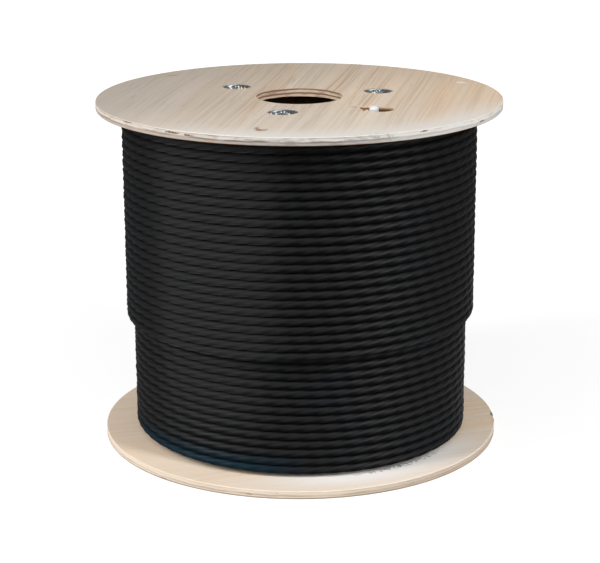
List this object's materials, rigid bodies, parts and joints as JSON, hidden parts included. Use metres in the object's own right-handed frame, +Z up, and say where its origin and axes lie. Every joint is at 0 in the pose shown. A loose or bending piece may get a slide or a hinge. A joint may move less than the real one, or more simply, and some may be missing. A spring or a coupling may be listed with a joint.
{
  "type": "wooden cable drum",
  "caption": "Plywood cable drum standing on a flange, wound with round black cable; tie rods clamp both flanges on a barrel, and the inner cable end shows at a lead-out hole.",
  "frame": {"origin": "centre of the lower flange's outer face, on the drum axis, at the floor", "axes": "+Z up along the drum axis from the lower flange to the top flange, -Y towards the picture's viewer"},
  "size_m": [0.3999, 0.4, 0.347],
  "materials": {
    "plywood": "raw sanded plywood",
    "barrel_board": "raw wood-fibre board",
    "cable_jacket": "satin",
    "white_cap": "satin",
    "zinc_steel": "zinc plated"
  },
  "bodies": {
    "root": {"top_flange": "plywood", "bottom_flange": "plywood", "barrel": "barrel_board", "cable_winding": "cable_jacket", "cable_end": "cable_jacket", "end_cap": "white_cap", "tie_rod_1": "zinc_steel", "tie_rod_2": "zinc_steel", "tie_rod_3": "zinc_steel", "top_washer_1": "zinc_steel", "top_washer_2": "zinc_steel", "top_washer_3": "zinc_steel", "bottom_washer_1": "zinc_steel", "bottom_washer_2": "zinc_steel", "bottom_washer_3": "zinc_steel", "top_nut_1": "zinc_steel", "top_nut_2": "zinc_steel", "top_nut_3": "zinc_steel", "bottom_nut_1": "zinc_steel", "bottom_nut_2": "zinc_steel", "bottom_nut_3": "zinc_steel"}
  },
  "joints": []
}
